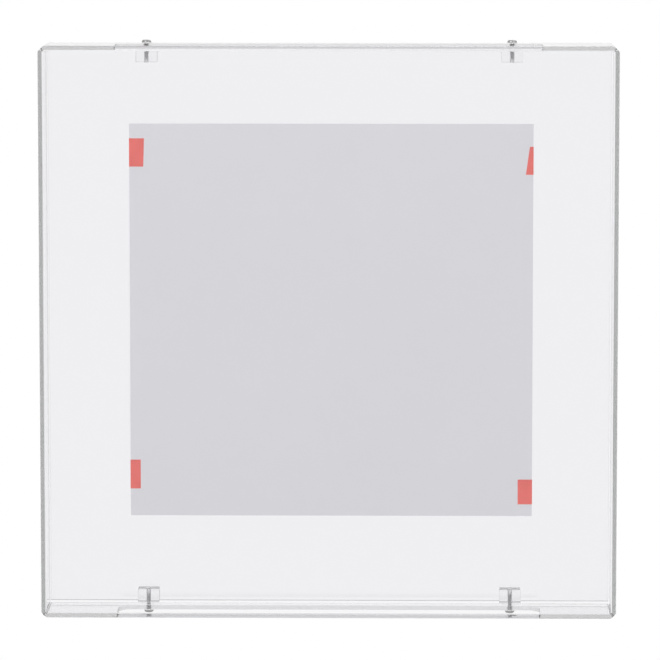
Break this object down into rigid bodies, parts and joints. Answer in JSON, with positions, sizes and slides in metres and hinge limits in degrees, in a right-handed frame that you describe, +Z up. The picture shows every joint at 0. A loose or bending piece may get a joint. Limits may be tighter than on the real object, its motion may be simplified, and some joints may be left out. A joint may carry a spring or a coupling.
{
  "type": "clip frame",
  "caption": "Clear box-shaped clip frame: a folded front cover held over a wall panel by small screws, with a taped picture sheet inside.",
  "frame": {"origin": "centre of the back panel's rear face, which lies on the wall", "axes": "+X to the right seen from the front, +Y into the wall, +Z up"},
  "size_m": [0.4, 0.05, 0.4028],
  "materials": {
    "cover": "clear cast sheet, polished faces and edges",
    "panel": "clear cast sheet, sawn and eased edges",
    "blocks": "clear, polished",
    "screws": "bright stainless, turned head",
    "washers": "natural nylon, satin",
    "picture": "smooth matt grey sheet",
    "tape": "red tape, slightly satin"
  },
  "bodies": {
    "back": {"back_panel": "panel", "picture_sheet": "picture", "block_top_left": "blocks", "block_top_right": "blocks", "block_bottom_left": "blocks", "block_bottom_right": "blocks", "tape_tab_top_left": "tape", "tape_tab_top_right": "tape", "tape_tab_bottom_left": "tape", "tape_tab_bottom_right": "tape"},
    "cover": {"front_cover": "cover"},
    "washer_top_left": {"washer_top_left": "washers"},
    "screw_top_left": {"screw_top_left": "screws"},
    "washer_top_right": {"washer_top_right": "washers"},
    "screw_top_right": {"screw_top_right": "screws"},
    "washer_bottom_left": {"washer_bottom_left": "washers"},
    "screw_bottom_left": {"screw_bottom_left": "screws"},
    "washer_bottom_right": {"washer_bottom_right": "washers"},
    "screw_bottom_right": {"screw_bottom_right": "screws"}
  },
  "joints": [
    {"name": "cover_off", "type": "slide", "parent": "back", "child": "cover", "axis": [0, -1, 0], "range_m": [0, 0.06]},
    {"name": "screw_rise_top_left", "type": "slide", "parent": "back", "child": "washer_top_left", "axis": [0, 0, 1], "range_m": [0, 0.008]},
    {"name": "screw_turn_top_left", "type": "hinge", "parent": "washer_top_left", "child": "screw_top_left", "pos_m": [-0.127, -0.008, 0.1982], "axis": [0, 0, 1], "range_deg": [0, 5760]},
    {"name": "screw_rise_top_right", "type": "slide", "parent": "back", "child": "washer_top_right", "axis": [0, 0, 1], "range_m": [0, 0.008]},
    {"name": "screw_turn_top_right", "type": "hinge", "parent": "washer_top_right", "child": "screw_top_right", "pos_m": [0.127, -0.008, 0.1982], "axis": [0, 0, 1], "range_deg": [0, 5760]},
    {"name": "screw_rise_bottom_left", "type": "slide", "parent": "back", "child": "washer_bottom_left", "axis": [0, 0, -1], "range_m": [0, 0.008]},
    {"name": "screw_turn_bottom_left", "type": "hinge", "parent": "washer_bottom_left", "child": "screw_bottom_left", "pos_m": [-0.127, -0.008, -0.2], "axis": [0, 0, -1], "range_deg": [0, 5760]},
    {"name": "screw_rise_bottom_right", "type": "slide", "parent": "back", "child": "washer_bottom_right", "axis": [0, 0, -1], "range_m": [0, 0.008]},
    {"name": "screw_turn_bottom_right", "type": "hinge", "parent": "washer_bottom_right", "child": "screw_bottom_right", "pos_m": [0.127, -0.008, -0.2], "axis": [0, 0, -1], "range_deg": [0, 5760]}
  ],
  "couplings": [
    {"joint": "screw_turn_top_left", "follows": "screw_rise_top_left", "rad_per_m": 12566},
    {"joint": "screw_turn_top_right", "follows": "screw_rise_top_right", "rad_per_m": 12566},
    {"joint": "screw_turn_bottom_left", "follows": "screw_rise_bottom_left", "rad_per_m": 12566},
    {"joint": "screw_turn_bottom_right", "follows": "screw_rise_bottom_right", "rad_per_m": 12566}
  ]
}
